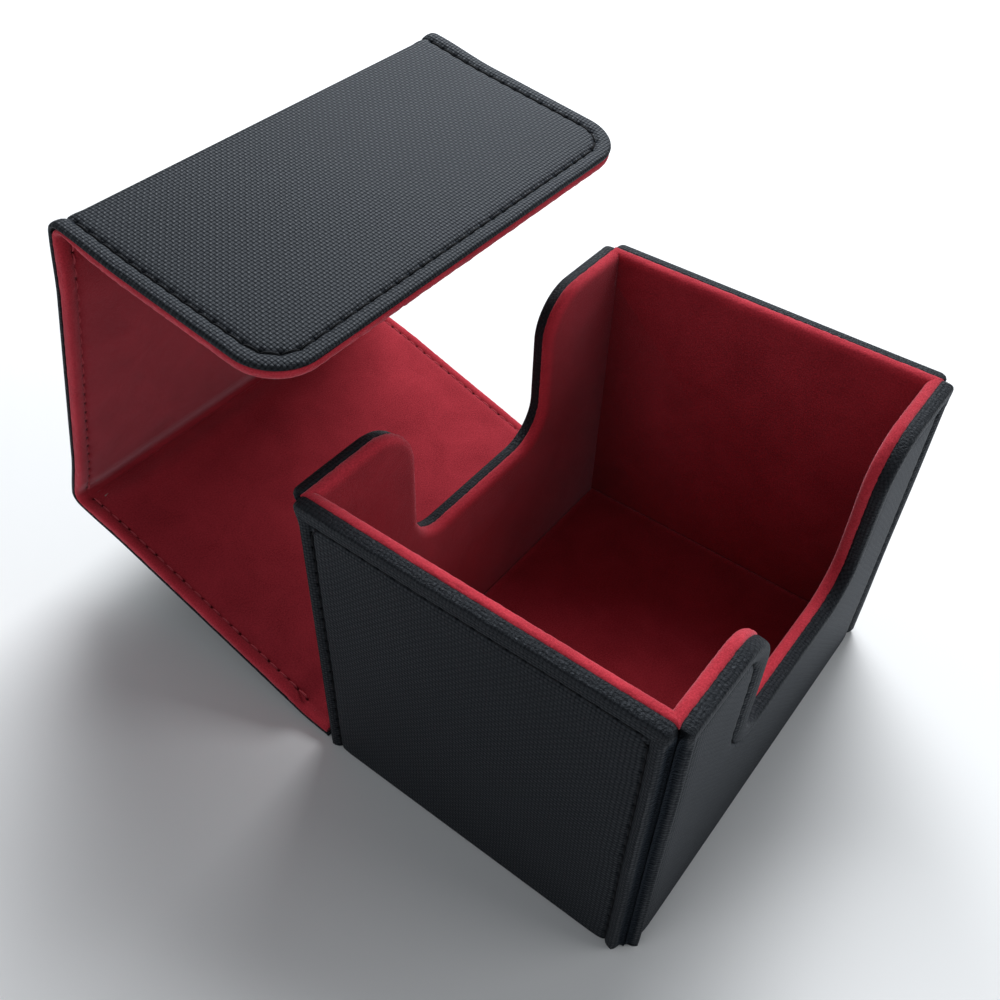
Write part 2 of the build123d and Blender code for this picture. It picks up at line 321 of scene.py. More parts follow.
def make_panel(name, corners, rounds, front, back, step=0.57):
    """A closed panel lying in XY; front and back profile its edge, as distances inwards and levels."""
    piece = draw_outline(name, corners, rounds, back[0][1], step)
    pick(piece, "FACE", lambda face: True)
    mark_edge(piece, 0)
    rise = (front[0][1] - back[0][1]) * mm
    bpy.ops.mesh.extrude_region_move(TRANSFORM_OT_translate={"value": (0, 0, rise)})
    bpy.ops.mesh.select_all(action="SELECT")
    bpy.ops.mesh.normals_make_consistent(inside=False)
    middle = (front[0][1] + back[0][1]) / 2 * mm
    for side, profile in ((1, front), (-1, back)):

        def facing(face):
            return abs(face.normal.z) > 0.9 and (face.calc_center_median().z - middle) * side > 0

        pick(piece, "FACE", facing)
        for (near, low), (far, high) in zip(profile, profile[1:]):
            bpy.ops.mesh.inset(thickness=(far - near) * mm, depth=(high - low) * side * mm)
            mark_edge(piece, far)
        bpy.ops.mesh.delete(type="ONLY_FACE")
    divide_sides(piece, corners, max(front[-1][0], back[-1][0]), step)
    for profile in (front, back):
        level = profile[-1][1] * mm
        pick(piece, "EDGE", lambda edge: edge.is_boundary and abs(edge.verts[0].co.z - level) < 1e-6)
        bpy.ops.mesh.edge_face_add()
    bpy.ops.mesh.select_all(action="SELECT")
    bpy.ops.mesh.normals_make_consistent(inside=False)
    bpy.ops.object.mode_set(mode="OBJECT")
    return piece


def vertices(piece):
    """The places of a mesh's vertices as rows of an array."""
    places = np.zeros(len(piece.data.vertices) * 3)
    piece.data.vertices.foreach_get("co", places)
    return places.reshape(-1, 3)


def move_vertices(piece, places):
    """Puts a mesh's vertices in these places."""
    piece.data.vertices.foreach_set("co", np.asarray(places).ravel())
    piece.data.update()


def line_inside(corners, rounds, inset, least=1.0, closed=True):
    """Points on the line that keeps this distance inside an outline, its corners as arcs."""
    count = len(corners)
    places = [np.array(c, float) for c in corners]
    ends = range(count) if closed else range(1, count - 1)

    def heading(i):
        step = places[(i + 1) % count] - places[i % count]
        return step / np.linalg.norm(step)

    def left_of(way):
        return np.array((-way[1], way[0]))

    points = []
    if not closed:
        points.append(places[0] + inset * left_of(heading(0)))
    for i in ends:
        into, out = heading(i - 1), heading(i)
        left_in, left_out = left_of(into), left_of(out)
        corner = places[i] + inset * (left_in + left_out) / (1 + left_in @ left_out)
        turn = np.arctan2(into[0] * out[1] - into[1] * out[0], into @ out)
        radius = max(rounds.get(i, 0) - inset * np.sign(turn), least)
        reach = radius * np.tan(abs(turn) / 2)
        centre = corner - into * reach + left_in * radius * np.sign(turn)
        x, y = -left_in * radius * np.sign(turn)
        for angle in np.linspace(0, 1, 13) * turn:
            points.append(centre + (x * cos(angle) - y * sin(angle), x * sin(angle) + y * cos(angle)))
    if closed:
        points.append(points[0])
    else:
        points.append(places[-1] + inset * left_of(heading(count - 2)))
    return np.array(points)


def walk(points, pitch):
    """Evenly spaced points along a line, about this pitch apart, from its start to its end."""
    along = np.concatenate(([0], np.cumsum(np.linalg.norm(np.diff(points, axis=0), axis=1))))
    count = round(along[-1] / pitch)
    wanted = np.linspace(0, along[-1], count + 1)
    return np.stack([np.interp(wanted, along, points[:, k]) for k in (0, 1)], axis=1)


def noted(piece, name):
    """The value that each vertex of a piece holds under this name."""
    values = np.zeros(len(piece.data.vertices))
    piece.data.attributes[name].data.foreach_get("value", values)
    return values


def note(piece, name, values):
    """Keeps a value for each vertex of a piece under this name."""
    layers = piece.data.attributes
    layer = layers.get(name) or layers.new(name, "FLOAT", "POINT")
    layer.data.foreach_set("value", values)


def search_tree(points):
    """A tree that finds the nearest of these points, seen from above."""
    tree = KDTree(len(points))
    for i, (x, y) in enumerate(points):
        tree.insert((x, y, 0), i)
    tree.balance()
    return tree


def lay_grain(piece, corners, rounds, front, back):
    """Lays the grain on a flat panel and round its edge: a UV map in millimetres of the skin."""
    places = vertices(piece) / mm
    edge = noted(piece, "edge")
    tree = search_tree(walk(line_inside(corners, rounds, -3.0), 0.4))
    away = np.array([tree.find((x, y, 0))[0][:2] for x, y in places[:, :2]]) - places[:, :2]
    away /= np.linalg.norm(away, axis=1)[:, None]
    front_far, front_level = np.array(front).T
    back_far, back_level = np.array(back).T
    front_run = np.hypot(np.diff(front_far), np.diff(front_level))
    back_run = np.hypot(np.diff(back_far), np.diff(back_level))
    front_laid = front_far[-1] - np.append(np.cumsum(front_run[::-1])[::-1], 0)
    back_laid = front_laid[0] - (front_level[0] - back_level[0]) - np.append(0, np.cumsum(back_run))
    upper = places[:, 2] > (front_level[0] + back_level[0]) / 2
    laid = np.where(upper, np.interp(edge, front_far, front_laid), np.interp(edge, back_far, back_laid))
    flat = places[:, :2] + away * (edge - laid)[:, None]
    layer = piece.data.uv_layers.get("grain") or piece.data.uv_layers.new(name="grain")
    corner = np.zeros(len(piece.data.loops), np.int32)
    piece.data.loops.foreach_get("vertex_index", corner)
    layer.data.foreach_set("uv", flat[corner].ravel())


def fade_out(distance, reach):
    """A share that is 1 at no distance and fades away past this reach."""
    return np.exp(-((distance / reach) ** 2))


def crumple_edge(piece, most, reach):
    """Notes how far the skin is crumpled: most at the outline, and less within this reach of it."""
    note(piece, "crumple", most * fade_out(noted(piece, "edge"), reach))


def select_only(piece):
    """Makes this piece the one that is selected and active."""
    bpy.ops.object.select_all(action="DESELECT")
    piece.select_set(True)
    bpy.context.view_layer.objects.active = piece


def finish_piece(piece, material, sharp=50):
    """Gives a piece its material and smooth shading."""
    piece.data.materials.clear()
    piece.data.materials.append(material)
    select_only(piece)
    bpy.ops.object.shade_smooth_by_angle(angle=radians(sharp))


def cut_at(piece, y, side):
    """Cuts a flat piece across at y; side 1 drops what lies beyond, -1 what lies before and 0 neither."""
    select_only(piece)
    bpy.ops.object.mode_set(mode="EDIT")
    bpy.ops.mesh.select_mode(type="VERT")
    bpy.ops.mesh.select_all(action="SELECT")
    bpy.ops.mesh.bisect(
        plane_co=(0, y * mm, 0),
        plane_no=(0, 1, 0),
        use_fill=side != 0,
        clear_outer=side == 1,
        clear_inner=side == -1,
    )
    bpy.ops.object.mode_set(mode="OBJECT")


def bend_reach(wrap, bend):
    """How far a bend that takes up this length of the skin's outer face reaches beside its fold line."""
    return (wrap / bend - fold_line) * tan(bend / 2)


leather = leather_material()
joints = {joint["name"]: joint for joint in frame["joints"]}
hinge_points = {name: Vector(joint["pos_m"]) for name, joint in joints.items()}
fold_line = 0.5
crease_wrap = 2.6
cover_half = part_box("base_leather")[1].x / mm
strip_lean = hinge_points["back_crease"] - hinge_points["strip_crease"]
strip_bend = atan2(strip_lean.z, strip_lean.y)
strip_start = hinge_points["strip_crease"].y / mm - bend_reach(crease_wrap, strip_bend)
base_half, base_front, base_step, base_beyond = 50.4, -37.9, 38.6, 60
base_corners = [
    (-base_half, base_front), (base_half, base_front),
    (base_half, base_step), (cover_half, base_step),
    (cover_half, base_beyond), (-cover_half, base_beyond),
    (-cover_half, base_step), (-base_half, base_step),
]
base_top = [(0, 0.7), (0.1, 0.88), (0.3, 0.98), (0.6, 1.0), (1.2, 1.0)]
base_under = [(0, 0.4), (0.1, 0.15), (0.35, 0.02), (0.7, 0.0), (1.2, 0.0)]
base = make_panel("base_leather_skin", base_corners, {}, base_top, base_under, step=2)
cut_at(base, strip_start, 1)
lay_grain(base, base_corners, {}, base_top, base_under)
crumple_edge(base, most=0.3, reach=1.0)
finish_piece(base, leather)
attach(base, "tray")
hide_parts("base_leather")


# Boards of the tray
# Grey bookbinder's board, cut to the floor and the four walls and glued edge to edge under the leather.
# They carry the case's shape and don't show. The floor's board has round corners and rubbed edges, and
# the CAD pieces of the walls' boards stay.


def board_material():
    """Pressed grey pulp with flecks of fibre."""
    material, tree, shader = new_material("grey_board")
    place = add_node(tree, "ShaderNodeTexCoord").outputs["Object"]
    flecks = noise(tree, place, Scale=900.0, Detail=4.0, Roughness=0.7).outputs["Fac"]
    colour = blend_colours(tree, flecks, (0.16, 0.15, 0.14), (0.34, 0.33, 0.31))
    set_finish(tree, shader, colour, ramp(tree, flecks, 0.2, 0.8, 0.95, 0.8))
    raise_surface(tree, shader, flecks, 0.4, 0.1 * mm)
    return material


def oblong(half, low, high):
    """The corners of a plain panel."""
    return [(-half, low), (half, low), (half, high), (-half, high)]


def dress(name, material):
    """Gives the CAD piece of a hidden part its material."""
    node = frame["nodes"][name]
    node.data.materials.clear()
    node.data.materials.append(material)


board = board_material()
board_corner = 4.0
board_rub = [(0, 0.15), (0.05, 0.04), (0.15, 0)]
board_low, board_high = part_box("floor_board")
board_x, board_y = board_high.x / mm, board_high.y / mm
board_bottom, board_top = board_low.z / mm, board_high.z / mm
floor_sheet = make_panel(
    "floor_board_sheet",
    oblong(board_x, -board_y, board_y),
    {corner: board_corner for corner in range(4)},
    [(inset, board_top - drop) for inset, drop in board_rub],
    [(inset, board_bottom + drop) for inset, drop in board_rub],
    step=4,
)
finish_piece(floor_sheet, board, 30)
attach(floor_sheet, "tray")
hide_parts("floor_board")
for side in ("front", "right", "back", "left"):
    dress(side + "_wall_board", board)


# Wall magnets
# Two nickel-plated discs are let into the front board, behind the leather, where the flap's magnets meet
# them. The plating is brushed by tumbling, and the discs are glued in flush.


def magnet_material():
    """Bright nickel with the fine dulling of tumbled plating."""
    material, tree, shader = new_material("magnet")
    shader.inputs["Metallic"].default_value = 1.0
    place = add_node(tree, "ShaderNodeTexCoord").outputs["Object"]
    tumble = noise(tree, place, Scale=1400.0, Detail=3.0).outputs["Fac"]
    colour = blend_colours(tree, tumble, (0.52, 0.51, 0.48), (0.66, 0.65, 0.62))
    set_finish(tree, shader, colour, ramp(tree, tumble, 0.3, 0.7, 0.22, 0.36))
    return material


magnet = magnet_material()
dress("wall_magnets", magnet)


# Wall leather
# Four panels of leather over thin foam, each turned over its board's rim and ends and under its foot.
# A seam up both sides and along the rim puffs up the hem, which steps down into a groove at the tray's
# corners. The front and the back have a thumb notch.


def nearest_of(places, points):
    """How far each place is from the nearest of these points, seen from above."""
    tree = search_tree(points)
    return np.array([tree.find((x, y, 0))[2] for x, y in places[:, :2]])


padding_sag, sag_reach = 0.07, 1.7
hole_reach, groove_reach = 0.5, 0.3


def pull_in(piece, seams, above, depth=0.24, reach=0.55, dark=0.3):
    """Pulls the face above this level down at its needle holes, and notes how deep in a seam it lies, as
    painted shade for the materials.
    """
    places = vertices(piece) / mm
    upper = places[:, 2] > above
    nearest = nearest_of(places, np.concatenate(seams))
    beside = nearest_of(places, np.concatenate([walk(holes, groove_reach) for holes in seams]))
    dent = depth * fade_out(nearest, reach) + padding_sag * fade_out(nearest, sag_reach)
    places[:, 2] -= dent * upper
    move_vertices(piece, places * mm)
    # Painted shade: the hole value darkens the needle holes and, scaled by dark, the groove along the seam.
    sunk = np.maximum(fade_out(nearest, hole_reach), dark * fade_out(beside, groove_reach))
    note(piece, "hole", sunk * upper)


def wobble(piece, size, scale, seed):
    """Moves a piece's vertices a little, in slow waves, as hand-turned edges wander."""
    places = vertices(piece) / mm
    rng = np.random.default_rng(seed)
    for _ in range(6):
        wave = rng.normal(size=3) / scale
        push = rng.normal(size=3) * size / 6**0.5
        places += np.sin(places @ wave + rng.uniform(0, 2 * pi))[:, None] * push
    move_vertices(piece, places * mm)


wall_hem = [
    (0, 1.05), (0.05, 1.75), (0.13, 2.3), (0.3, 2.72), (0.55, 2.95), (0.95, 3.08), (1.3, 3.1), (2.0, 3.1),
    (2.7, 3.02), (3.3, 2.88), (3.8, 2.68), (4.15, 2.42), (4.4, 2.12), (4.62, 2.3), (5.0, 2.48), (5.7, 2.57),
    (6.8, 2.6), (8, 2.6),
]
wall_turning = [(0, 0.9), (0.12, 0.5), (0.4, 0.18), (0.8, 0.02), (0.95, 0.0), (0.97, 1.5)]
hem_reach = wall_hem[-1][0]
stitch_inset, stitch_pitch = 4.4, 3.4
edge_setback, side_hem = 1.5, 3.6
corner_step = [(0, 1.1), (0.7, 1.3), (0.85, 1.8), (1.05, 2.4), (1.35, 2.8), (1.8, 3.2)]
groove_wide, groove_soft, groove_dark = 1.15, 0.4, 0.7
groove_end, groove_taper, groove_lift = 5.0, 4.0, 0.95
mitre_gap, hem_above, roll_above = 0.12, 1.0, 1.2
rim_round, foot_round, foot_roll = 1.6, 2.0, 0.9
wall_foot, seam_foot, wall_beyond = 0.12, 1.1, -11
foot_rows = (0.15, 0.35, 0.6, 0.95, 1.5, 2.2, 3.0)
notch_half, notch_floor = 22.5, 40.0
notch_rounds = {3: 11.0, 4: 9.0, 5: 9.0, 6: 11.0}
front_low, front_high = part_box("front_leather")
panel_low, panel_high = front_low.z / mm, front_high.z / mm
tray_half_x = -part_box("left_leather")[0].x / mm
tray_half_y = -front_low.y / mm
wall_thick = (front_high.y - front_low.y) / mm


def wall_outline(half, low, high, has_notch, lap=0):
    """The corners and radii of a wall, with its thumb notch narrower by a lap all round."""
    corners = oblong(half, low, high)
    if not has_notch:
        return corners, {}
    notch, floor = notch_half - lap, notch_floor + lap
    rim = [(notch, high), (notch, floor), (-notch, floor), (-notch, high)]
    return corners[:3] + rim + corners[3:], notch_rounds


def draw_in(across, x):
    """Where a place across a wall comes to lie when its side hems are drawn narrower than its rim's hem."""
    side = np.interp(across - np.abs(x), [0, stitch_inset, hem_reach], [0, side_hem, hem_reach])
    return np.sign(x) * np.where(across - np.abs(x) < hem_reach, across - side, np.abs(x))


def shape_wall(piece, across, foot, half):
    """Steps a flat wall's side hems down, paints shade into the groove at its corners, rounds its corners,
    rolls its foot and mitres its ends.
    """
    places = vertices(piece) / mm
    places[:, 0] = draw_in(across, places[:, 0])
    run_out = np.clip((places[:, 1] - panel_high + groove_end) / groove_taper, 0, groove_lift)
    beside = across - np.abs(places[:, 0]) + run_out
    step = np.interp(beside, *np.array(corner_step).T)
    places[:, 2] = np.where(places[:, 2] > hem_above, np.minimum(places[:, 2], step), places[:, 2])
    # Painted shade in the groove at the tray's corner, noted in the hole value.
    groove = np.clip((groove_wide - beside) / groove_soft, 0, groove_dark)
    note(piece, "hole", np.maximum(noted(piece, "hole"), groove))
    for radius, base_level, way in ((rim_round, panel_high, 1), (foot_round, foot, -1)):
        over = np.abs(places[:, 0]) - (across - radius)
        up = (places[:, 1] - base_level) * way + radius
        inside = (over > 0) & (up > 0)
        share = np.where(inside, np.maximum(over, up) / np.maximum(np.hypot(over, up), 1e-9), 1)
        side = np.sign(places[:, 0])
        places[:, 0] = np.where(inside, side * (across - radius + over * share), places[:, 0])
        places[:, 1] = np.where(inside, base_level + way * (up * share - radius), places[:, 1])
    low = 1 - np.clip((places[:, 1] - foot) / foot_roll, 0, 1)
    places[:, 2] -= foot_roll * (1 - np.sqrt(1 - low**2)) * (places[:, 2] > roll_above)
    reach = half - wall_thick + places[:, 2] - mitre_gap
    places[:, 0] = np.clip(places[:, 0], -reach, reach)
    move_vertices(piece, places * mm)


def stand_wall(piece, name, turn, out):
    """Stands a flat wall up facing out of the tray, turned about the tray's middle."""
    copy = piece.copy()
    copy.data = piece.data.copy()
    copy.name = copy.data.name = name
    bpy.context.collection.objects.link(copy)
    copy.rotation_euler = (radians(90), 0, radians(turn))
    copy.location = Vector((sin(radians(turn)), -cos(radians(turn)), 0)) * out * mm
    select_only(copy)
    bpy.ops.object.transform_apply()
    return copy


walls = {
    "front": (0, tray_half_y, tray_half_x, True, wall_foot),
    "right": (90, tray_half_x, tray_half_y, False, wall_foot),
    "back": (180, tray_half_y, tray_half_x, True, panel_low),
    "left": (270, tray_half_x, tray_half_y, False, wall_foot),
}
wall_seams = {}
for side, (turn, out, half, has_notch, foot) in walls.items():
    across = half - edge_setback
    corners, rounds = wall_outline(across, wall_beyond, panel_high, has_notch)
    flat = make_panel("flat_leather", corners, rounds, wall_hem, wall_turning)
    cut_at(flat, foot, -1)
    for row in foot_rows:
        cut_at(flat, foot + row, 0)
    lay_grain(flat, corners, rounds, wall_hem, wall_turning)
    crumple_edge(flat, most=1.0, reach=1.5)
    route = [(across, foot + seam_foot)] + corners[2:] + [(-across, foot + seam_foot)]
    turns = {i - 1: radius for i, radius in rounds.items()}
    holes = walk(line_inside(route, turns, stitch_inset, 1.2, closed=False), stitch_pitch)
    pull_in(flat, [holes], above=1.8, depth=0.18, reach=0.5, dark=0.5)
    wobble(flat, size=0.06, scale=9, seed=turn + 1)
    shape_wall(flat, across, foot, half)
    wall_seams[side] = np.stack([draw_in(across, holes[:, 0]), holes[:, 1]], axis=1)
    panel = stand_wall(flat, side + "_leather_panel", turn, out - wall_thick)
    bpy.data.objects.remove(flat)
    finish_piece(panel, leather)
    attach(panel, "tray")
    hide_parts(side + "_leather")


# Wall stitching
# Twisted black thread in a lockstitch, about 3.4 mm a stitch, 4.4 mm below the rim and 5.1 mm from the
# tray's corners. A stitch lies in the groove it pulls into the padding, and its ends go down needle holes.


def thread_material(name, dark, light):
    """Twisted matt thread, whose plies wind round the strand."""
    material, tree, shader = new_material(name)
    shader.inputs["Specular IOR Level"].default_value = 0.1
    wound = split(tree, add_node(tree, "ShaderNodeUVMap", uv_map="grain").outputs["UV"])
    turns = calc(tree, "MULTIPLY_ADD", wound["X"], 4, calc(tree, "MULTIPLY", wound["Y"], 2))
    ply = calc(tree, "ABSOLUTE", calc(tree, "SINE", calc(tree, "MULTIPLY", turns, pi)))
    # Painted shade and painted highlight: the colour is darker in the grooves between the plies and lighter
    # on their crests.
    set_finish(tree, shader, blend_colours(tree, ply, dark, light), ramp(tree, ply, 0, 1, 0.95, 0.8))
    raise_surface(tree, shader, ply, 0.8, 0.06 * mm)
    return material


stitch_rings = (-0.42, -0.28, 0, 0.28, 0.42)
stitch_flat, stitch_taper, stitch_dip = 0.8, 0.45, 0.42


def make_stitch(length, thick):
    """One stitch along X: a strand that narrows and dips at both ends."""
    bpy.ops.object.select_all(action="DESELECT")
    bpy.ops.mesh.primitive_cylinder_add(
        vertices=6,
        radius=thick / 2 * mm,
        depth=length * mm,
        end_fill_type="TRIFAN",
        rotation=(0, radians(90), 0),
    )
    stitch = bpy.context.active_object
    bpy.ops.object.transform_apply()
    bpy.ops.object.mode_set(mode="EDIT")
    for share in stitch_rings:
        bpy.ops.mesh.select_all(action="SELECT")
        bpy.ops.mesh.bisect(plane_co=(share * length * mm, 0, 0), plane_no=(1, 0, 0))
    bpy.ops.object.mode_set(mode="OBJECT")
    places = vertices(stitch) / mm
    places[:, 2] *= stitch_flat
    end = np.abs(places[:, 0]) / (length / 2)
    places[:, 1:] *= (1 - stitch_taper * end**4)[:, None]
    places[:, 2] -= stitch_dip * end**3
    move_vertices(stitch, places * mm)
    stitch.data.uv_layers[0].name = "grain"
    return stitch


def join_up(parts):
    """Joins pieces into the first of them."""
    select_only(parts[0])
    for part in parts[1:]:
        part.select_set(True)
    if len(parts) > 1:
        bpy.ops.object.join()
    return parts[0]


def sew(name, stitch, holes, level):
    """Lays copies of a stitch from hole to hole at this level and joins them into one flat piece."""
    copies = []
    for (x0, y0), (x1, y1) in zip(holes, holes[1:]):
        copy = stitch.copy()
        copy.data = stitch.data.copy()
        bpy.context.collection.objects.link(copy)
        copy.location = ((x0 + x1) / 2 * mm, (y0 + y1) / 2 * mm, level * mm)
        copy.rotation_euler = (0, 0, atan2(y1 - y0, x1 - x0))
        copies.append(copy)
    thread = join_up(copies)
    thread.name = thread.data.name = name
    bpy.ops.object.transform_apply()
    return thread


black_thread = thread_material("black_thread", (0.004, 0.004, 0.005), (0.014, 0.015, 0.017))
stitch = make_stitch(stitch_pitch * 0.98, 0.5)
wall_stitch_level = 2.34
for side, (turn, out, half, has_notch, foot) in walls.items():
    flat = sew("flat_stitches", stitch, wall_seams[side], wall_stitch_level)
    thread = stand_wall(flat, side + "_stitches", turn, out - wall_thick)
    bpy.data.objects.remove(flat)
    finish_piece(thread, black_thread, 80)
    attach(thread, "tray")
    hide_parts(side + "_stitching")


# Tray liners
# Red microfibre over foam, cut to the inside of each wall and to the floor, and glued in. The top edges
# are soft beads that lap 0.7 mm over the leather's rim, and the wall liners meet in mitred corners.


def microfibre_material():
    """Brushed red microfibre: a short even nap, with a painted highlight along its rounded edges, where the
    fibres catch the light, and painted shade in its needle holes and seam grooves.
    """
    material, tree, shader = new_material("red_microfibre")
    shader.inputs["Specular IOR Level"].default_value = 0.05
    shader.inputs["Sheen Weight"].default_value = 0.45
    shader.inputs["Sheen Roughness"].default_value = 0.4
    shader.inputs["Sheen Tint"].default_value = (1.0, 0.6, 0.68, 1)
    flat = add_node(tree, "ShaderNodeUVMap", uv_map="grain").outputs["UV"]
    hole = vertex_value(tree, "hole")
    nap = noise(tree, flat, Scale=0.09, Detail=4.0, Roughness=0.6, Distortion=0.5).outputs["Fac"]
    fibre = noise(tree, flat, Scale=2.6, Detail=4.0, Roughness=0.75).outputs["Fac"]
    tone = calc(tree, "MULTIPLY_ADD", nap, 0.3, calc(tree, "MULTIPLY", fibre, 0.7))
    # Painted shade: the hole value darkens the needle holes and seam grooves.
    tone = calc(tree, "MULTIPLY", ramp(tree, tone, 0.25, 0.75, 0, 1), ramp(tree, hole, 0.2, 0.8, 1, 0))
    colour = blend_colours(tree, tone, (0.2, 0.012, 0.019), (0.44, 0.034, 0.05))
    sewn = add_node(tree, "ShaderNodeHueSaturation")
    tree.links.new(colour, sewn.inputs["Color"])
    # Painted highlight and painted shade: the value is lifted near the cut edges and dropped again in the
    # needle holes and seam grooves.
    edge_highlight_and_shade = ramp(tree, vertex_value(tree, "edge"), 0.3, 2.4, 1.45, 1)
    edge_highlight_and_shade = calc(tree, "MULTIPLY", edge_highlight_and_shade, ramp(tree, hole, 0.45, 0.95, 1, 0.12))
    tree.links.new(edge_highlight_and_shade, sewn.inputs["Value"])
    set_finish(tree, shader, sewn.outputs["Color"], ramp(tree, nap, 0.2, 0.8, 1.0, 0.9))
    relief = calc(tree, "MULTIPLY_ADD", nap, 0.2, calc(tree, "MULTIPLY", fibre, 0.16))
    raise_surface(tree, shader, relief, 0.9, mm)
    return material


def fray(piece, reach, size, seed, start=-1e9, stop=1e9):
    """Roughens a cut edge of cloth as its fibres stand out, but not at the ends that meet another piece."""
    places = vertices(piece) / mm
    rng = np.random.default_rng(seed)
    inside = np.clip(np.minimum(places[:, 1] - start, stop - places[:, 1]), 0, 1)
    loose = np.clip(1 - noted(piece, "edge") / reach, 0, 1) * inside
    places += rng.normal(size=places.shape) * size * loose[:, None]
    move_vertices(piece, places * mm)


microfibre = microfibre_material()
liner_edge = [
    (0, 0.3), (0.08, 0.8), (0.25, 1.2), (0.5, 1.5), (0.9, 1.74), (1.6, 1.88), (2.6, 1.94),
    (4, 2.0), (6, 2.08), (8, 2.1),
]
liner_back = [
    (0, 0.1), (0.08, -0.25), (0.25, -0.52), (0.5, -0.68), (0.75, -0.7), (0.95, -0.6),
    (1.05, -0.2), (1.1, 0.0),
]
liner_lap, liner_beside, liner_below = 0.15, 8, 9
liner_low, liner_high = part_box("front_liner")[0].z / mm, panel_high + liner_lap
for side, (turn, out, half, has_notch, foot) in walls.items():
    inner = half - wall_thick
    wide, below = inner + liner_beside, liner_low - liner_below
    corners, rounds = wall_outline(wide, below, liner_high, has_notch, liner_lap)
    flat = make_panel("flat_liner", corners, rounds, liner_edge, liner_back, step=0.5)
    cut_at(flat, liner_low, -1)
    fray(flat, reach=1.8, size=0.045, seed=turn + 9)
    bpy.ops.object.mode_set(mode="EDIT")
    for way in (1, -1):
        bpy.ops.mesh.select_all(action="SELECT")
        bpy.ops.mesh.bisect(
            plane_co=(way * inner * mm, 0, 0), plane_no=(way, 0, 1), use_fill=True, clear_outer=True
        )
    bpy.ops.object.mode_set(mode="OBJECT")
    lay_grain(flat, corners, rounds, liner_edge, liner_back)
    places = vertices(flat)
    places[:, [0, 2]] *= -1
    move_vertices(flat, places)
    liner = stand_wall(flat, side + "_liner_pad", turn, out - wall_thick)
    bpy.data.objects.remove(flat)
    finish_piece(liner, microfibre, 60)
    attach(liner, "tray")
    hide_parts(side + "_liner")

floor_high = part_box("floor_liner")[1]
floor_x, floor_y = floor_high.x / mm, floor_high.y / mm
floor_corners = oblong(floor_x, -floor_y, floor_y)
floor_edge = [(0, 3.5), (0.1, 3.8), (0.4, 4.05), (0.9, 4.18), (1.6, 4.2), (5, 4.2)]
floor_back = [(0, 3.0), (0.1, 2.75), (0.4, 2.6)]
floor_pad = make_panel("floor_liner_pad", floor_corners, {}, floor_edge, floor_back, step=0.8)
lay_grain(floor_pad, floor_corners, {}, floor_edge, floor_back)
finish_piece(floor_pad, microfibre, 60)
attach(floor_pad, "tray")
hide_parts("floor_liner")


# Hinge strip
# The soft strip between the tray and the cover: the same skin with the lining laid straight on it.
# It creases along the tray's lower back edge and again where the cover's board begins.

stretches = {
    "hinge_strip": ("tray", "strip_crease"),
    "back_cover": ("hinge_strip", "back_crease"),
    "top_cover": ("back_cover", "top_fold"),
    "front_flap": ("top_cover", "flap_fold"),
}
folds = [hinge_points[joint] for before, joint in stretches.values()]
leans = {"tray": 0.0}
for body, here, there in zip(stretches, folds, folds[1:]):
    leans[body] = atan2(there.z - here.z, there.y - here.y)
leans["front_flap"] = leans["top_cover"] - radians(joints["flap_fold"]["range_deg"][0])
leather_wraps = {"hinge_strip": crease_wrap, "back_cover": crease_wrap, "top_cover": 3.8, "front_flap": 3.4}
lining_wraps = {"hinge_strip": crease_wrap, "back_cover": crease_wrap, "top_cover": 4.8, "front_flap": 4.6}
flap_length, flap_corner = 54.0, 10.0
beyond = 12.0
bend_rows = 11
fold_rows = (0.8, 1.6, 2.5, 4, 6, 8, 10, 12, 14, 16)


def stretch_reach(body, wraps):
    """How far the bend at the start of a stretch reaches on each side of its fold line."""
    return bend_reach(wraps[body], leans[body] - leans[stretches[body][0]])


def wrap_point(body, wraps, along, above):
    """Where points of a flat stretch, along from its bend's start and above its outer face, come to lie."""
    before, joint = stretches[body]
    pivot = np.array(hinge_points[joint])[1:] / mm
    wrap, bend = wraps[body], leans[body] - leans[before]
    radius = wrap / bend
    angle = leans[before] + bend * np.clip(along / wrap, 0, 1)
    first = np.array((cos(leans[before]), sin(leans[before])))
    up = np.array((-first[1], first[0]))
    centre = pivot - first * stretch_reach(body, wraps) + up * (radius - fold_line)
    run = np.where(along < 0, along, np.maximum(along - wrap, 0))
    y = centre[0] + np.sin(angle) * (radius - above) + np.cos(angle) * run
    z = centre[1] - np.cos(angle) * (radius - above) + np.sin(angle) * run
    return y * mm, z * mm


def stretch_length(body, wraps):
    """The flat length of a stretch of the cover, from the start of its bend to the start of the next."""
    names = list(stretches)
    here = hinge_points[stretches[body][1]]
    flat = wraps[body] - stretch_reach(body, wraps)
    if body == names[-1]:
        return flat + flap_length
    following = names[names.index(body) + 1]
    there = hinge_points[stretches[following][1]]
    return flat + (there - here).length / mm - stretch_reach(following, wraps)


def fold_up(piece, body, wraps, inner):
    """Folds a flat piece of the cover up into its place; it bends with the joint at its start."""
    places = vertices(piece) / mm
    y, z = wrap_point(body, wraps, places[:, 1], places[:, 2])
    move_vertices(piece, np.stack([places[:, 0] * mm, y, z], axis=1))
    ends = []
    for along in (0.0, wraps[body]):
        y, z = wrap_point(body, wraps, np.array(along), np.array(inner))
        ends.append(Vector((0, float(y), float(z))))
    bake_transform(piece, stretches[body][0], body, *ends)


def near_fold(body, wraps, along, fade, creases):
    """How near, from 0 to 1, points of a stretch are to a fold, or to a crease of the hinge as well."""
    if body == "hinge_strip":
        return np.full_like(along, float(creases))
    near = np.zeros_like(along)
    if creases or body != "back_cover":
        near = np.clip(1 - (along - wraps[body]) / fade, 0, 1)
    if body != "front_flap":
        near = np.maximum(near, np.clip(1 - (stretch_length(body, wraps) - along) / fade, 0, 1))
    return near * near * (3 - 2 * near)


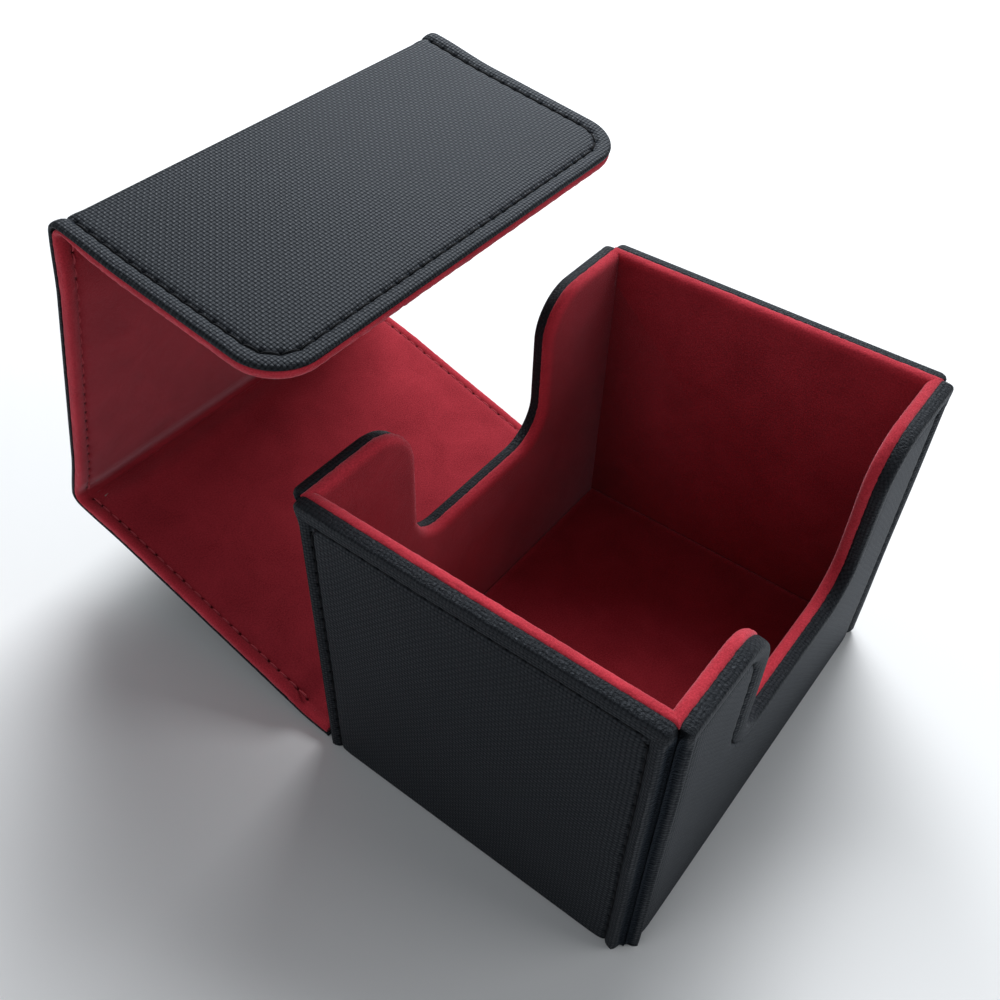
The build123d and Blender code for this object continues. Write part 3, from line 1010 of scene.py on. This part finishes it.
def cover_outline(body, wraps, inset=0.0):
    """The corners and radii of a stretch of the cover, which runs on past its folds to be cut there."""
    half, length = cover_half - inset, stretch_length(body, wraps)
    end = length - inset if body == "front_flap" else length + beyond
    radius = flap_corner - inset
    return oblong(half, -beyond, end), {2: radius, 3: radius} if body == "front_flap" else {}


def cover_seam(body, wraps, pitch, inset, clear=0.8):
    """The needle holes along the sides of a stretch, and round the end of the flap, as one or two lines."""
    length = stretch_length(body, wraps)
    start, stop, side = wraps[body] + clear, length - clear, cover_half - inset
    if body == "front_flap":
        route = [(cover_half, start), (cover_half, length), (-cover_half, length), (-cover_half, start)]
        return [walk(line_inside(route, {1: flap_corner, 2: flap_corner}, inset, closed=False), pitch)]
    return [walk(np.array(((x, start), (x, stop))), pitch) for x in (side, -side)]


def cut_stretch(piece, body, wraps):
    """Cuts a flat stretch of the cover to length and gives it rows of faces to bend at its folds."""
    wrap, length = wraps[body], stretch_length(body, wraps)
    cut_at(piece, 0, -1)
    if body != "front_flap":
        cut_at(piece, length, 1)
    for along in np.linspace(0, wrap, bend_rows)[1:]:
        cut_at(piece, along, 0)
    for along in fold_rows:
        cut_at(piece, wrap + along, 0)
        if body != "front_flap":
            cut_at(piece, length - along, 0)


cover_skin = 1.1
cover_stitch_inset = 3.4
cover_hem = [
    (0, 0.4), (0.08, 0.66), (0.28, 0.9), (0.6, 1.05), (1.1, 1.13), (1.8, 1.15), (2.4, 1.09), (2.85, 0.95),
    (3.2, 0.76), (3.4, 0.7), (3.6, 0.76), (3.95, 0.92), (4.5, 1.04), (5.4, 1.1), (7, 1.1),
]
cover_turning = [(0, 0.3), (0.08, 0.12), (0.3, 0.02), (0.7, 0.0), (4.9, 0.0), (5.0, 0.1)]
fold_flare, flare_from, flare_fade = 0.9, 36, 16.0


def flare(body, wraps, places):
    """How far the stiff sewn sides of the cover stand out of a fold, in millimetres."""
    side = np.clip((np.abs(places[:, 0]) - flare_from) / (cover_half - flare_from), 0, 1)
    return fold_flare * side * side * near_fold(body, wraps, places[:, 1], flare_fade, False)


def cover_leather(body, name, node):
    """The leather of one stretch of the cover, folded up from the flat, its outer face down."""
    corners, rounds = cover_outline(body, leather_wraps)
    piece = make_panel(name, corners, rounds, cover_hem, cover_turning)
    cut_stretch(piece, body, leather_wraps)
    lay_grain(piece, corners, rounds, cover_hem, cover_turning)
    crumple_edge(piece, most=0.25, reach=0.8)
    if body != "hinge_strip":
        pull_in(piece, cover_seam(body, leather_wraps, stitch_pitch, cover_stitch_inset), above=0.5)
    places = vertices(piece) / mm
    places[:, 0] *= -1
    places[:, 2] = cover_skin - places[:, 2] - flare(body, leather_wraps, places)
    move_vertices(piece, places * mm)
    fold_up(piece, body, leather_wraps, cover_skin + 0.05)
    finish_piece(piece, leather)
    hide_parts(node)


lining_edge = [
    (0, 2.0), (0.06, 2.5), (0.2, 2.9), (0.45, 3.15), (0.8, 3.28), (1.3, 3.33), (1.8, 3.32), (2.25, 3.25),
    (2.5, 3.15), (2.7, 3.07), (2.9, 3.15), (3.2, 3.24), (3.8, 3.29), (5, 3.3), (7, 3.3),
]
lining_back = [(0, 1.9), (0.06, 1.5), (0.25, 1.26), (0.5, 1.17), (4.9, 1.17), (5.0, 2.25)]
lining_low = 1.17
lining_inset, lining_seam, lining_pitch = 0.1, 2.8, 3.1
lining_squash, squash_fade, lining_middle = 0.5, 6.0, 2.35


def cover_lining(body, name, node):
    """The lining of one stretch of the cover, which lies thinner on the skin at the folds."""
    corners, rounds = cover_outline(body, lining_wraps, lining_inset)
    piece = make_panel(name, corners, rounds, lining_edge, lining_back, step=0.45)
    cut_stretch(piece, body, lining_wraps)
    lay_grain(piece, corners, rounds, lining_edge, lining_back)
    if body != "hinge_strip":
        seams = cover_seam(body, lining_wraps, lining_pitch, lining_seam)
        pull_in(piece, seams, above=2.6, reach=0.45, dark=0.6)
    stop = stretch_length(body, lining_wraps) + beyond * (body == "front_flap")
    fray(piece, reach=1.4, size=0.035, seed=len(name), start=0, stop=stop)
    places = vertices(piece) / mm
    thin = 1 - lining_squash * near_fold(body, lining_wraps, places[:, 1], squash_fade, True)
    places[:, 2] = lining_low + (places[:, 2] - lining_low) * thin - flare(body, lining_wraps, places)
    move_vertices(piece, places * mm)
    fold_up(piece, body, lining_wraps, lining_middle)
    finish_piece(piece, microfibre, 60)
    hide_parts(node)


cover_leather("hinge_strip", "hinge_skin", "hinge_leather")
cover_lining("hinge_strip", "hinge_cloth", "hinge_lining")


# Back cover
# The panel behind the tray: leather over a thin board, the red lining round the board's inner side, and
# both sewn together along the sides, with black thread outside and red thread inside. It bends at the
# strip's second crease.


def cover_stitches(body, name, node):
    """The thread along a stretch's seams, on its leather or, where there is no CAD node, on its lining."""
    inside = node is None
    wraps = lining_wraps if inside else leather_wraps
    pitch, inset = (lining_pitch, lining_seam) if inside else (stitch_pitch, cover_stitch_inset)
    one, level = (red_stitch, lining_stitch_level) if inside else (stitch, cover_stitch_level)
    thread = join_up([sew(name, one, holes, level) for holes in cover_seam(body, wraps, pitch, inset)])
    places = vertices(thread) / mm
    if not inside:
        places[:, 0] *= -1
        places[:, 2] = cover_skin - places[:, 2]
    places[:, 2] -= flare(body, wraps, places)
    y, z = wrap_point(body, wraps, places[:, 1], places[:, 2])
    move_vertices(thread, np.stack([places[:, 0] * mm, y, z], axis=1))
    material, slot = (red_thread, "red_lining") if inside else (black_thread, "black_thread")
    finish_piece(thread, material, 80)
    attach(thread, body)
    if node:
        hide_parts(node)


def cover_panel(body, name):
    """One board of the cover with its leather, its lining and the thread on both."""
    dress(name + "_board", board)
    cover_leather(body, name + "_skin", name + "_leather")
    cover_stitches(body, name + "_stitches", name + "_stitching")
    cover_lining(body, name + "_cloth", name + "_lining")
    cover_stitches(body, name + "_lining_stitches", None)


red_thread = thread_material("red_thread", (0.2, 0.02, 0.03), (0.55, 0.08, 0.1))
red_stitch = make_stitch(lining_pitch * 0.85, 0.4)
cover_stitch_level, lining_stitch_level = 0.8, 3.14
cover_panel("back_cover", "back_cover")


# Top cover
# The panel that lies over the tray when the case is closed, and stands behind it when open. It is made as
# the back cover is, and the skin and the lining bend round the fold between the two boards.

cover_panel("top_cover", "top_cover")


# Front flap
# The free end of the cover, with two round corners and the seam running round them. Two magnets in its
# board hold it to the tray's front. It hangs out towards the tray when the case is open.

cover_panel("front_flap", "flap")
dress("flap_magnets", magnet)
bpy.data.objects.remove(stitch)
bpy.data.objects.remove(red_stitch)


# Floor and light
# A pale paper floor, a large soft light high at the back right, weaker ones at the front right and on the
# left, and an even, dim surround. None of it belongs to the case.

bpy.ops.object.select_all(action="DESELECT")
bpy.ops.mesh.primitive_plane_add(size=4)
ground = bpy.context.active_object
ground.name = "studio_floor"
paper, paper_tree, paper_shader = new_material("studio_floor")
paper_place = add_node(paper_tree, "ShaderNodeTexCoord").outputs["Object"]
clouds = noise(paper_tree, paper_place, Scale=6.0, Detail=2.0).outputs["Fac"]
paper_colour = blend_colours(paper_tree, clouds, (0.84, 0.84, 0.84), (0.88, 0.88, 0.88))
paper_tree.links.new(paper_colour, paper_shader.inputs["Base Color"])
paper_shader.inputs["Roughness"].default_value = 0.9
paper_shader.inputs["Specular IOR Level"].default_value = 0.1
ground.data.materials.append(paper)

middle = (cad_low + cad_high) / 2


def soft_light(name, place, size, power, colour):
    """A square soft light that faces the middle of the case."""
    data = bpy.data.lights.new(name, "AREA")
    data.shape = "SQUARE"
    data.size = size
    data.energy = power
    data.color = colour
    light = bpy.data.objects.new(name, data)
    light.location = place
    light.rotation_euler = (middle - light.location).to_track_quat("-Z", "Y").to_euler()
    bpy.context.collection.objects.link(light)


soft_light("key_light", Vector((0.62, 0.34, 0.72)), 0.7, 14.5, (0.95, 0.975, 1.0))
soft_light("front_light", Vector((0.45, -0.8, 0.4)), 0.7, 3.0, (0.97, 0.985, 1.0))
soft_light("fill_light", Vector((-0.8, 0.2, 0.35)), 0.6, 1.3, (0.96, 0.98, 1.0))
world = bpy.data.worlds.new("studio")
world.use_nodes = True
world.node_tree.nodes["Background"].inputs["Color"].default_value = (0.88, 0.94, 1.0, 1)
world.node_tree.nodes["Background"].inputs["Strength"].default_value = 0.2
bpy.context.scene.world = world


# Camera
# It stands as in the photograph, high at the front left, and looks down into the tray and past the flap.
# Its shift only sets the case where the photograph's frame has it.

camera_data = bpy.data.cameras.new("camera")
camera = bpy.data.objects.new("camera", camera_data)
bpy.context.collection.objects.link(camera)
camera.location = (-0.13616, -0.06623, 0.20839)
camera.rotation_euler = Vector((0.5507, 0.4387, -0.7102)).to_track_quat("-Z", "Y").to_euler()
camera_data.sensor_width = 36
camera_data.lens = 38.884
camera_data.shift_x = 0.0397
camera_data.shift_y = -0.0029
camera_data.clip_start = 0.01
bpy.context.scene.camera = camera
bpy.context.scene.view_settings.view_transform = "Standard"
